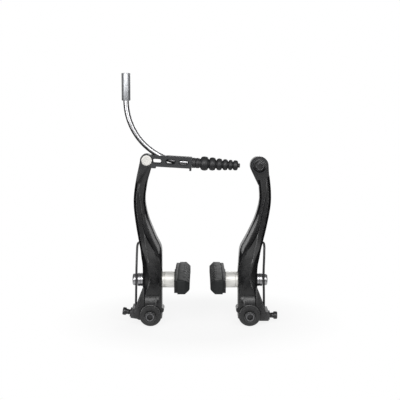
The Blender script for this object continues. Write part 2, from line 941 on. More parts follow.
@dataclass
class Arm:
    """One lever of the brake, from its pivot boss to the link or the cable anchor."""

    side: Side
    top: float = 97.0
    bottom: float = -3.0
    lines: ArmLines = field(default_factory=ArmLines)
    station_step: float = 2.0
    line_gap: float = 0.25
    step_width: float = 1.1
    bevel_drop: float = 1.2
    back_bevel: float = 0.9
    boss_radius: float = 7.8
    boss_back: float = 5.2
    boss_front: float = 22.9
    boss_rim: tuple[Pair, ...] = ((0.9, 0), (0.45, 0.2), (0.15, 0.5), (0, 0.9))
    stub_outline: tuple[Pair, ...] = ((8, 1.6), (8.3, 1.9), (20, 1.9), (20.4, 1.5))
    bore_radius: float = 5.45
    tongue_radius: float = 4.4
    tongue_back: float = 15.3
    tongue_front: float = 20.3
    tongue_rounding: float = 0.35
    pin_hole_radius: float = 2.05
    anchor_radius: float = 6.3
    anchor_rounding: float = 0.45
    anchor_clearing: float = 3.4
    anchor_hole_radius: float = 2.55
    slot_radius: float = 3.6
    slot_travel: float = 3.5
    hook_hole_radius: float = 1.4
    wing_reach: float = 11.6
    wing_thickness: float = 1.9
    wing_front: float = 21.9
    wing_lean: float = 4.5
    # Left, right, bottom and top of the blocks in the arm that the tongue grows out of
    tongue_feet: tuple[tuple[float, float, float, float], ...] = (
        (-9.0, -2.1, 91, 92), (-8.7, -0.8, 96.9, 97))
    # The same of the block for the anchor's head, from the middle of the arm's top
    neck_foot: tuple[float, float, float, float] = (-9.2, -1.6, -7, -6)
    rim_sharpness: float = 0.85
    # How sharply each of the thirteen lines of a section stays when the loft is smoothed
    sharpness: tuple[float, ...] = (
        0.72, 0.6, 0.8, 0.8, 0.68, 0.72, 0.72, 0.7, 0.7, 0.75, 0.75, 0.75, 0.75)

    def section(self, z: float) -> list[Vector]:
        """Outline of the arm at one height.

        Args:
            z: the height above the pivot.

        Returns:
            Nine points along the front and four along the back.
        """
        lines = self.lines
        gap = self.line_gap
        lean = lean_at(z, self.side.lean)

        def here(line: Sequence[Pair]) -> float:
            """Value of one line at this height."""
            return smooth_at(z, line)

        outer = here(lines.outer_edge)
        inner = ARM_INNER_X + here(lines.inner_edge_above)
        bevel_start = outer + here(lines.outer_bevel_width)
        ridge_a = max(here(lines.ridge_left), bevel_start + gap)
        ridge_b = max(here(lines.ridge_right), ridge_a + gap)
        lower = max(here(lines.lower_line), ridge_b + gap)
        foot = max(here(lines.step_top_line) - self.step_width, lower + gap)
        step = max(here(lines.step_top_line), foot + gap)
        bevel = min(max(here(lines.bevel_line), step + gap), inner - gap)
        bevel_y = here(lines.bevel_front)
        back = here(lines.back_face)
        places = [
            (outer, here(lines.outer_wall_front)),
            (bevel_start, here(lines.outer_bevel_front)),
            (ridge_a, here(lines.ridge_left_front)),
            (ridge_b, here(lines.ridge_right_front)),
            (lower, here(lines.lower_front)),
            (foot, here(lines.step_foot_front)),
            (step, here(lines.step_top_front)),
            (bevel, bevel_y),
            (inner, bevel_y - self.bevel_drop),
            (inner, back + self.back_bevel),
            (inner - self.back_bevel, back),
            (outer + self.back_bevel, back),
            (outer, back + self.back_bevel),
        ]
        return [Vector((x + lean, -front, z)) for x, front in places]

    def loft(self) -> Piece:
        """Draws the arm's body up from its lowest section.

        Returns:
            The closed and smoothed body.
        """
        tall = self.top - self.bottom
        count = math.ceil(tall / self.station_step)
        heights = [self.bottom + tall * i / count for i in range(count + 1)]
        sections = [self.section(z) for z in heights]
        deselect_all()
        bpy.ops.mesh.primitive_circle_add(vertices=len(sections[0]), radius=5, fill_type="NGON")
        body = bpy.context.object
        body.name = f"{self.side.value}_arm_body"
        with editing(body):
            mesh = bmesh.from_edit_mesh(body.data)
            line_of = mesh.verts.layers.int.new("line")
            mesh.verts.ensure_lookup_table()
            for vert in mesh.verts:
                vert[line_of] = vert.index
            self.shape_ring(body, sections[0])
            for section in sections[1:]:
                bpy.ops.mesh.extrude_region_move(
                    TRANSFORM_OT_translate={"value": (0, 0, self.station_step)})
                self.shape_ring(body, section)
            bpy.ops.mesh.select_all(action="SELECT")
            bpy.ops.mesh.normals_make_consistent(inside=False)
        self.crease(body, heights[0], heights[-1])
        apply_modifier(body, "SUBSURF", levels=2, render_levels=2)
        return body

    def shape_ring(self, body: Piece, section: Sequence[Vector]) -> None:
        """Sets the selected ring of points to one section."""
        mesh = bmesh.from_edit_mesh(body.data)
        line_of = mesh.verts.layers.int["line"]
        for vert in mesh.verts:
            if vert.select:
                vert.co = section[vert[line_of]]
        bmesh.update_edit_mesh(body.data)

    def crease(self, body: Piece, low: float, high: float) -> None:
        """Marks how sharp the long lines and the rims of both ends stay."""
        with editing(body):
            mesh = bmesh.from_edit_mesh(body.data)
            line_of = mesh.verts.layers.int["line"]
            sharp = mesh.edges.layers.float.new("crease_edge")
            for edge in mesh.edges:
                a, b = edge.verts
                if a[line_of] == b[line_of]:
                    edge[sharp] = self.sharpness[a[line_of]]
                elif abs(a.co.z - b.co.z) < 0.01 and (a.co.z < low + 0.01 or a.co.z > high - 0.01):
                    edge[sharp] = self.rim_sharpness
            bmesh.update_edit_mesh(body.data)

    def boss(self) -> Piece:
        """Turns the pivot boss, with a stepped front rim."""
        r, back, front = self.boss_radius, self.boss_back, self.boss_front
        outline = rod_outline([(back, r - 0.5), (back + 0.5, r), *rim(front, r, self.boss_rim)])
        return turn_to(spun("boss", outline), TO_FRONT)

    def stub(self) -> Piece:
        """Turns the small stub on the inner side of the boss."""
        stub = spun("stub", rod_outline(self.stub_outline), FEW_STEPS)
        return turn_to(stub, at_front(ARM_INNER_X - 0.6, 3))

    def wing(self) -> Piece:
        """Draws the flange that hides the spring's lower end."""
        reach, thick, front = self.wing_reach, self.wing_thickness, self.wing_front
        outline = [(-4.2, 19.5), (-5.2, 19), (-6.6, 15.6), (-8.6, 10.2), (1 - reach, 4.8),
                   (-reach, 1.4), (0.4 - reach, -1.8), (-8, -3.6), (-4.2, -3.6)]
        wing = soften(plate("wing", outline, 0, thick), 0.4, segments=3)
        lean = Matrix.Rotation(math.radians(-self.wing_lean), 4, "X")
        return turn_to(wing, Matrix.Translation((0, thick - front, 0)) @ lean)

    def grown(self, tip: Piece, back: float, front: float, rounding: float,
              feet: Sequence[tuple[float, float, float, float]]) -> Piece:
        """Lets the arm's round tip grow out of blocks that lie inside the arm.

        Args:
            tip: the plain round tip.
            back: distance of its back in front of the posts' plane.
            front: distance of its front in front of that plane.
            rounding: width of its rounded edges.
            feet: left, right, bottom and top of each block.

        Returns:
            The finished tip.
        """
        for left, right, bottom, top in feet:
            foot = block("foot", (left, -front, bottom), (right, -back, top))
            combine(tip, foot, Join.ADD)
        with editing(tip):
            bpy.ops.mesh.convex_hull()
        return soften(tip, rounding, segments=3, angle=40)

    def tongue(self) -> Piece:
        """Draws the tongue that carries the link pin."""
        back, front = self.tongue_back, self.tongue_front
        tip = round_bar("tongue", self.tongue_radius, back, front,
                        at_front(LINK_PIN_X, ARM_LENGTH), FINE_STEPS)
        return self.grown(tip, back, front, self.tongue_rounding, self.tongue_feet)

    def anchor_head(self) -> Piece:
        """Draws the round head that carries the cable anchor."""
        tip = round_bar("head", self.anchor_radius, ANCHOR_BACK, ANCHOR_FRONT,
                        at_front(ANCHOR_X, ANCHOR_Z), FINE_STEPS)
        neck = lean_at(self.top, self.side.lean)
        left, right, bottom, top = self.neck_foot
        foot = (neck + left, neck + right, self.top + bottom, self.top + top)
        return self.grown(tip, ANCHOR_BACK, ANCHOR_FRONT, self.anchor_rounding, [foot])

    def holes(self) -> list[Piece]:
        """Makes the tools that cut the arm's bore, its pad slot and its other holes."""
        pad_slot = [(-ARM_OUTER_X - 3, self.slot_radius), (ARM_INNER_X + 3, self.slot_radius)]
        hook = Matrix.Translation((lean_at(HOOK_Z, self.side.lean), HOOK_Y, HOOK_Z))
        tools = [
            round_bar("bore", self.bore_radius, self.boss_back - 3, self.boss_front + 3, TO_FRONT,
                      FINE_STEPS),
            stadium("slot", pad_slot, self.slot_travel, Matrix.Translation((0, PAD_Y, PAD_Z))),
            round_bar("hook_hole", self.hook_hole_radius, -9, -4, hook, FEW_STEPS),
        ]
        if self.side is Side.LEFT:
            pin = at_front(LINK_PIN_X, ARM_LENGTH)
            tools.append(round_bar("pin_hole", self.pin_hole_radius, self.tongue_back - 2,
                                   self.tongue_front + 2, pin))
        else:
            bolt = at_front(ANCHOR_X, ANCHOR_Z)
            tools.append(round_bar("bolt_hole", self.anchor_hole_radius, ANCHOR_BACK - 2,
                                   ANCHOR_FRONT + 2, bolt))
            tools.append(round_bar("clearing", self.anchor_radius + self.anchor_clearing,
                                   ANCHOR_FRONT, ANCHOR_FRONT + 8, bolt, FINE_STEPS))
        return tools

    def make(self) -> Piece:
        """Builds, dresses and hands over the arm.

        Returns:
            The finished arm.
        """
        arm = self.loft()
        end = self.tongue() if self.side is Side.LEFT else self.anchor_head()
        for part in (self.boss(), self.wing(), self.stub(), end):
            combine(arm, part, Join.ADD)
        for tool in self.holes():
            combine(arm, tool, Join.CUT)
        arm.name = f"{self.side.value}_arm_forging"
        dress(arm, ARM_BLACK)
        settle(arm, on_side(self.side))
        hand_over(arm, self.side.body, "arm_paint", self.side.node("arm"))
        return arm


def thread(piece: Piece, start: float, end: float, radius: float, pitch: float,
           depth: float) -> None:
    """Moves the points of a spun bar to a helical thread.

    Args:
        piece: the bar, round the X axis, in object mode.
        start: where the thread starts along X.
        end: where it ends.
        radius: the thread's outer radius.
        pitch: its pitch.
        depth: its depth.
    """
    for vert in piece.data.vertices:
        across = math.hypot(vert.co.y, vert.co.z)
        if across < radius - 0.01 or not start < vert.co.x < end:
            continue
        turn = math.atan2(vert.co.z, vert.co.y) / math.tau
        share = (vert.co.x / pitch - turn) % 1.0
        run_out = min(1.0, (vert.co.x - start) / pitch, (end - vert.co.x) / pitch)
        groove = depth * (1 - abs(2 * share - 1)) * run_out
        scale = (radius - groove) / across
        vert.co.y *= scale
        vert.co.z *= scale


def fine_outline(start: float, end: float, radius: float, step: float) -> list[Pair]:
    """A straight stretch of an outline with points close enough for a thread."""
    count = max(2, round((end - start) / step))
    return [(start + (end - start) * i / count, radius) for i in range(count + 1)]


def ball_pairs(ball: float, first: float, last: float, steps: int) -> list[Pair]:
    """Stretch of an outline on a ball about the origin, from one radius to another."""
    radii = [first + (last - first) * k / steps for k in range(steps + 1)]
    return [(math.sqrt(ball**2 - radius**2), radius) for radius in radii]


@dataclass
class PivotFastening:
    """The bolts, washers and bushes that hold the arms on their frame posts."""

    washer_front: float = 24.9
    head_front: float = 29.1
    head_radius: float = 4.0
    head_rim: tuple[Pair, ...] = ((0.75, 0), (0.35, 0.12), (0.1, 0.38), (0, 0.7))
    shank_radius: float = 3.0
    shank_length: float = 19.0
    relief_radius: float = 2.8
    relief_start: float = 22.9
    socket_radius: float = 2.3
    socket_depth: float = 3.0
    rim_radius: float = 3.05
    thread_pitch: float = 1.0
    thread_depth: float = 0.42

    def bolt(self) -> Piece:
        """Turns the fixing bolt, cuts its thread and sinks its socket."""
        start = self.washer_front - self.shank_length
        front, r = self.head_front, self.head_radius
        shank = fine_outline(start + 0.4, self.relief_start - 0.2, self.shank_radius,
                             self.thread_pitch / 8)
        outline = rod_outline([
            (start, self.shank_radius - 0.45), *shank, (self.relief_start, self.relief_radius),
            (self.washer_front, self.relief_radius), (self.washer_front, r - 0.1),
            (self.washer_front + 0.15, r), *rim(front, r, self.head_rim),
            (front, self.rim_radius), (front - 0.35, self.rim_radius - 0.3)])
        bolt = spun("pivot_bolt", outline, ROUND_STEPS)
        thread(bolt, start + 0.4, self.relief_start - 0.2, self.shank_radius, self.thread_pitch,
               self.thread_depth)
        socket = hexagon("socket", self.socket_radius, front - self.socket_depth, front + 1)
        combine(bolt, socket, Join.CUT)
        dress(bolt, BOLT_BLACK)
        worn = self.rim_radius + 0.05
        dress_faces(bolt, SOCKET_STEEL,
                    lambda p: p.x > front - 0.4 and math.hypot(p.y, p.z) < worn)
        return bolt

    def make(self) -> None:
        """Builds the bolts, and dresses the washers and the bushes."""
        for side, bolt in one_for_each_side(self.bolt()):
            settle(bolt, on_side(side) @ TO_FRONT)
            hand_over(bolt, "frame_side", "black_steel", side.node("fixing_bolt"))
            keep_node(side.node("pivot_washer"), WASHER_BLACK, 0.25)
            keep_node(side.node("bush"), BUSH_STEEL, 0.15)


@dataclass
class ReturnSpring:
    """The wire that opens an arm, from its seat in the holder to the hole in the arm."""

    side: Side
    wire_radius: float = 0.8
    seat: Point = (-10.4, -14.2, -3.4)
    seat_top: float = 2.0
    # Points between which the wire's motion goes over from the holder's to the arm's, in metres
    bend_root: Point = (0.0, 0.0, 0.004)
    bend_hook: Point = (0.0, 0.0, 0.046)
    route: tuple[Point, ...] = (
        (-10.3, -15.2, 6), (-10.1, -17.4, 11.5), (-9.9, -18.7, 17), (-9.7, -18.8, 24),
        (-9.6, -18.8, 31), (-9.4, -18.4, 38), (-9.2, -17.4, 44), (-8.9, -16.7, 48))
    # The wire's last points in the arm's hole: x and the drop under the hole's middle
    hook_route: tuple[Pair, ...] = ((-8.3, 0.4), (-7.3, 0.0), (-4.8, 0.0))

    def wire(self) -> Piece:
        """Draws the spring's wire from its holder to the hole in the arm."""
        across, out, bottom = self.seat
        low = [self.side.holder_turn @ Vector((across, out, z)) for z in (bottom, self.seat_top)]
        middle = [Vector((x + lean_at(z, self.side.lean), y, z)) for x, y, z in self.route]
        lean = lean_at(HOOK_Z, self.side.lean)
        hook = [Vector((x + lean, HOOK_Y, HOOK_Z - drop))
                for x, drop in self.hook_route]
        return swept(f"{self.side.value}_spring_wire", [*low, *middle, *hook],
                     self.wire_radius - 0.01, 16)

    def make(self) -> None:
        """Builds the wire, which bends between the holder and the arm."""
        wire = dress(self.wire(), SPRING_STEEL)
        settle(wire, on_side(self.side))
        root, hook = self.bend_root, self.bend_hook
        self.side.body
        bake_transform(wire)
        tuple(root)
        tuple(hook)
        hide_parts(self.side.node("spring"))
        log.info("%s: bends from the holder to the arm", wire.name)


@dataclass
class SpringTension:
    """The holders that the springs stand in, with their screws and stop pins."""

    tip: float = -11.25
    screw_y: float = -14.2
    screw_z: float = -1.8
    screw_radius: float = 2.0
    screw_length: float = 5.8
    head_radius: float = 2.7
    head_length: float = 2.6
    head_rim: tuple[Pair, ...] = ((0.35, 0), (0.1, 0.12), (0, 0.4))
    slot_depth: float = 1.2
    slot_half: float = 0.4
    slot_reach: float = 1.8
    thread_pitch: float = 1.25
    thread_depth: float = 0.34

    def screw(self) -> Piece:
        """Turns the tension screw, cuts its thread and crosses its head."""
        tip, r = self.tip, self.head_radius
        start = tip - self.screw_length
        head = start - self.head_length
        outline = rod_outline([
            (head, r - 0.5), (head + 0.15, r - 0.2), (head + 0.5, r),
            *rim(start, r, self.head_rim),
            *fine_outline(start + 0.05, tip - 0.4, self.screw_radius, self.thread_pitch / 9),
            (tip, self.screw_radius - 0.35)])
        screw = spun("tension_bolt", outline, SOME_STEPS)
        thread(screw, start + 0.05, tip - 0.4, self.screw_radius, self.thread_pitch,
               self.thread_depth)
        for turn in (0, 90):
            slot = block("slot", (head - 1, -self.slot_half, -self.slot_reach),
                         (head + self.slot_depth, self.slot_half, self.slot_reach))
            turn_to(slot, Matrix.Rotation(math.radians(turn), 4, "X"))
            combine(screw, slot, Join.CUT)
        return screw

    def make(self) -> None:
        """Builds the screws, and dresses the holders and the stop pins."""
        place = Matrix.Translation((0, self.screw_y, self.screw_z))
        for side, screw in one_for_each_side(dress(self.screw(), SCREW_BLACK)):
            settle(screw, on_side(side) @ side.holder_turn @ place)
            hand_over(screw, side.adjuster, "black_steel", side.node("tension_screw"))
            keep_node(side.node("spring_holder"), HOLDER_BLACK, 0.35)
            keep_node(side.node("stop_pin"), BRIGHT_STEEL, 0.2)


@dataclass
class BrakePads:
    """The pads on their studs, with the washers and nuts that clamp them to the arms."""

    length: float = 70.0
    height: float = 9.6
    thickness: float = 8.1
    back: float = 15.4
    carrier_thickness: float = 2.6
    curve_radius: float = 310.0
    rise: float = 3.4
    groove_count: int = 9
    groove_width: float = 1.5
    groove_depth: float = 1.3
    notch_depth: float = 1.1
    groove_slant: float = -24.0
    slices: int = 24
    wedge: float = 2.3
    end_rounding: float = 1.1
    top_chamfer: Pair = (3.0, 2.7)
    low_chamfer: Pair = (3.0, 2.0)
    stud_radius: float = 3.0
    washer_rim: float = 1.5
    rim_gap: float = 0.4
    inner_radius: float = 5.6
    outer_radius: float = 4.6
    nut_radius: float = 4.1
    nut_length: float = 3.3
    nut_rim: tuple[Pair, ...] = ((0.9, 0), (0.5, 0.12), (0.2, 0.4), (0, 0.85))
    cup_thickness: float = 1.9
    nut_socket: float = 2.88

    def along_rim(self, point: Vector) -> Vector:
        """Bends a straight pad's point to the rim's curve."""
        angle = point.y / self.curve_radius
        radius = self.curve_radius + point.z
        return Vector((point.x, radius * math.sin(angle),
                       radius * math.cos(angle) + self.rise - self.curve_radius))

    def groove_place(self, number: int) -> Matrix:
        """Place of one groove on the pad's curved middle line."""
        step = (self.length - 10) / (self.groove_count - 1)
        along = (number - (self.groove_count - 1) / 2) * step
        turn = Matrix.Rotation(-math.asin(along / self.curve_radius), 4, "X")
        back = Matrix.Translation((0, 0, self.rise - self.curve_radius))
        return back @ turn @ Matrix.Translation((0, 0, self.curve_radius))

    def groove_tools(self, face: float) -> list[Piece]:
        """Makes the blocks that cut one groove over the face and over the upper chamfer.

        Args:
            face: distance of the braking face along the stud.

        Returns:
            The two blocks.
        """
        slant = Matrix.Rotation(math.radians(self.groove_slant), 4, "X")
        half = self.groove_width / 2
        across = block("groove", (-self.groove_depth, -half, -15), (2, half, 15))
        turn_to(across, Matrix.Translation((face, 0, 0)) @ slant)
        deep, tall = self.top_chamfer
        reach = math.hypot(deep, tall) / 2
        notch = block("notch", (-self.notch_depth, -half, -reach - 1.8), (2, half, reach + 1.8))
        top = self.height / 2
        along = -math.tan(math.radians(self.groove_slant)) * (top - tall + reach)
        lean = Matrix.Rotation(-math.atan2(deep, tall), 4, "Y")
        turn_to(notch, Matrix.Translation((face - deep / 2, along, top - tall / 2)) @ lean @ slant)
        return [across, notch]

    def rubber(self) -> Piece:
        """Draws the rubber block with its wedge-shaped ends and its slanted grooves."""
        start = self.back + self.carrier_thickness
        face = start + self.thickness
        half, h = self.length / 2, self.height / 2
        pad = block("pad_block", (start, -half, -h), (face, half, h))
        for end in (-1, 1):
            wedge = block("wedge", (-self.wedge, -self.wedge, -15), (self.wedge, self.wedge, 15))
            corner = Matrix.Translation((face, end * half, 0))
            turn_to(wedge, corner @ Matrix.Rotation(math.radians(45), 4, "Z"))
            combine(pad, wedge, Join.CUT)
        for end, (deep, tall) in ((1, self.top_chamfer), (-1, self.low_chamfer)):
            slant = block("slant", (0, -half - 5, 0), (20, half + 5, 20))
            tilt = Matrix.Rotation(math.atan2(tall, deep), 4, "Y")
            corner = Matrix.Translation((face - deep, 0, h))
            flip = Matrix.Scale(end, 4, (0, 0, 1))
            turn_to(slant, flip @ corner @ tilt)
            combine(pad, slant, Join.CUT)
        with editing(pad):
            pick_points(pad, lambda p: abs(abs(p.y) - half) < 0.01 and p.z > h - 0.01)
            bpy.ops.mesh.bevel(offset=self.end_rounding, segments=4, affect="EDGES")
            for i in range(1, self.slices):
                bpy.ops.mesh.select_all(action="SELECT")
                place = -half + self.length * i / self.slices
                bpy.ops.mesh.bisect(plane_co=(0, place, 0), plane_no=(0, 1, 0))
        for vert in pad.data.vertices:
            vert.co = self.along_rim(vert.co)
        soften(pad, 0.25, angle=28)
        for i in range(self.groove_count):
            for tool in self.groove_tools(face):
                turn_to(tool, self.groove_place(i))
                combine(pad, tool, Join.CUT)
        return soften(pad, 0.12, angle=50)

    def ball_outline(self, radius: float) -> list[Pair]:
        """Outline of a washer with a flat side and a ball side."""
        ball = math.hypot(HALF_ARM + self.washer_rim, radius)
        bore = self.stud_radius + 0.6
        curve = ball_pairs(ball, radius, bore, 10)
        return [(HALF_ARM, bore), (HALF_ARM, radius - 0.2), (HALF_ARM + 0.2, radius),
                *curve, (HALF_ARM, bore)]

    def cup_outline(self, radius: float, start: float, end: float) -> list[Pair]:
        """Outline of a washer with a hollow seat at its start."""
        ball = math.hypot(HALF_ARM + self.washer_rim, radius) + 0.05
        bore = self.stud_radius + 0.05
        edge = radius - 0.25
        hollow = ball_pairs(ball, bore, edge, 8)
        return [*hollow, (start + 0.02, edge), (start, radius - 0.12), (start + 0.18, radius),
                (end - 0.3, radius), (end, radius - 0.3), (end, bore), hollow[0]]

    def nut(self) -> Piece:
        """Turns the pad nut and sinks its socket."""
        start = HALF_ARM + self.washer_rim + self.rim_gap + self.cup_thickness + 0.05
        end = start + self.nut_length
        r, bore = self.nut_radius, self.stud_radius + 0.05
        outline = [(start, bore), (start, r - 0.3), (start + 0.3, r), *rim(end, r, self.nut_rim),
                   (end, self.nut_socket + 0.15), (end - 0.15, bore), (start, bore)]
        nut = spun("nut_body", outline)
        socket = hexagon("socket", self.nut_socket + 0.32, end - 1.5, end + 1)
        return combine(nut, socket, Join.CUT)

    def make(self) -> None:
        """Builds the rubber, the washers and the nuts, and dresses the carriers."""
        for side, rubber in one_for_each_side(dress(self.rubber(), PAD_RUBBER)):
            settle(rubber, on_stud(side))
            hand_over(rubber, side.body, "pad_rubber", side.node("pad_rubber"))
            keep_node(side.node("pad_carrier"), CARRIER_BLACK, 0.3)
        seat = HALF_ARM + self.washer_rim + self.rim_gap
        inner_ball = self.ball_outline(self.inner_radius)
        spacer = self.cup_outline(self.inner_radius, seat, self.back)
        outer_ball = self.ball_outline(self.outer_radius)
        cup = self.cup_outline(self.outer_radius, seat, seat + self.cup_thickness)
        rings = (
            ("inner_ball", inner_ball, 0.0, SPACER_ALLOY, "washer_alloy"),
            ("spacer", spacer, 0.0, SPACER_ALLOY, "washer_alloy"),
            ("outer_ball", outer_ball, math.pi, BRIGHT_STEEL, "bright_steel"),
            ("cup", cup, math.pi, BRIGHT_STEEL, "bright_steel"),
        )
        for node, outline, turn, finish, slot in rings:
            for side, ring in one_for_each_side(dress(spun(f"{node}_ring", outline), finish)):
                settle(ring, on_stud(side, turn))
                hand_over(ring, side.body, slot, side.node(f"{node}_washer"))
        for side, nut in one_for_each_side(dress(self.nut(), BRIGHT_STEEL)):
            settle(nut, on_stud(side, math.pi))
            hand_over(nut, side.body, "bright_steel", side.node("pad_nut"))


@dataclass
class Link:
    """The folded link that hooks the cable lead to the left arm, with its pin."""

    length: float = LINK_LENGTH
    height: float = 7.8
    wall: float = 1.2
    inner_width: float = 5.3
    end_radius: float = 4.5
    end_plate: float = END_PLATE
    overlap: float = 0.02
    pin_radius: float = 2.0
    pin_clearance: float = 0.06
    head_radius: float = 3.6
    head_thickness: float = 1.1
    head_rim: tuple[Pair, ...] = ((0.55, 0), (0.25, 0.12), (0.08, 0.4), (0, 0.8), (0.06, 1.3))
    tail_rim: tuple[Pair, ...] = ((0.9, 1.0), (0.75, 0.65), (0.4, 0.5), (0, 0.5))
    side_gap: float = 0.2
    window_places: tuple[float, ...] = (7.0, 16.3, 25.3)
    window_length: float = 5.8
    window_height: float = 2.7
    window_frame: float = 0.55
    nose_hole_radius: float = 1.8
    nose_slot_half: float = 1.2
    # Start, end and depth of the low tab of each side plate, and of the floor between them
    tab: Point = (3.6, 6.4, 1.2)
    floor: Point = (12, 21, 1)
    hook_tab_half: float = 2
    hook_tab_drop: float = 1.7

    @property
    def outer_width(self) -> float:
        """Width of the link over its two side plates."""
        return self.inner_width + 2 * self.wall

    def side_plate(self) -> Piece:
        """Draws the front side plate with its round end and its low tab."""
        back, low, overlap = self.inner_width / 2, -self.height / 2, self.overlap
        end = round_bar("side_plate", self.end_radius, back, back + self.wall, TO_FRONT)
        long = block("long_plate", (0, -back - self.wall, low), (self.length, -back, -low))
        combine(end, long, Join.ADD)
        start, stop, drop = self.tab
        tab = block("tab", (start, -back - self.wall + overlap, low - drop),
                    (stop, -back - overlap, low + 0.2))
        return combine(end, tab, Join.ADD)

    def body(self) -> Piece:
        """Folds the link and pierces its windows and holes."""
        half, low, overlap = self.outer_width / 2, -self.height / 2, self.overlap
        body = self.side_plate()
        start, stop, thick = self.floor
        apart = Matrix.Translation((0, self.inner_width + self.wall, 0))
        others = [
            turn_to(copied(body), apart),
            block("end_plate", (self.length - self.end_plate, -half + overlap, low + overlap),
                  (self.length - overlap, half - overlap, -low - overlap)),
            block("floor", (start, -half + overlap, low + overlap),
                  (stop, half - overlap, low + thick)),
            block("hook_tab", (self.length - self.end_plate + overlap, -self.hook_tab_half,
                               low - self.hook_tab_drop),
                  (self.length - overlap * 2, self.hook_tab_half, low + 0.3)),
        ]
        for other in others:
            combine(body, other, Join.ADD)
        flat = TO_FRONT @ Matrix.Rotation(math.radians(90), 4, "X")
        r, inside = self.window_height / 2, half - self.window_frame
        outline = [(-half - 1, r), (inside, r), (half + 1, r + self.window_frame + 1)]
        window = stadium("window", outline, (self.window_length - self.window_height) / 2, flat)
        tools = [turn_to(copied(window), Matrix.Translation((x, 0, 0))) for x in self.window_places]
        bpy.data.objects.remove(window, do_unlink=True)
        tools.append(round_bar("pin_hole", self.pin_radius + self.pin_clearance, -half - 1,
                               half + 1, TO_FRONT))
        tools.append(round_bar("nose_hole", self.nose_hole_radius,
                               self.length - self.end_plate - 1, self.length + 1, ALONG_X))
        tools.append(block("nose_slot",
                           (self.length - self.end_plate - 1, -self.nose_slot_half, 0),
                           (self.length + 1, self.nose_slot_half, self.height)))
        for tool in tools:
            combine(body, tool, Join.CUT)
        soften(body, 0.22, angle=50)
        body.name = "folded_link"
        return body

    def pin(self) -> Piece:
        """Turns the pin with its two pressed heads."""
        half = self.outer_width / 2 + self.side_gap
        front, r = half + self.head_thickness, self.head_radius
        outline = rod_outline([
            *rim(-half, r, self.tail_rim), (-half, self.pin_radius), (half, self.pin_radius),
            (half, r - 0.1), (half + 0.12, r), *rim(front, r, self.head_rim)])
        return spun("rolled_pin", outline)

    def make(self) -> None:
        """Builds, dresses and hands over the link and its pin."""
        body = settle(dress(self.body(), LINK_GREY), on_link())
        hand_over(body, "link_body", "link_metal", "link")
        pin = settle(dress(self.pin(), PIN_ALLOY), on_link() @ TO_FRONT)
        hand_over(pin, Side.LEFT.body, "pin_metal", "link_pin")


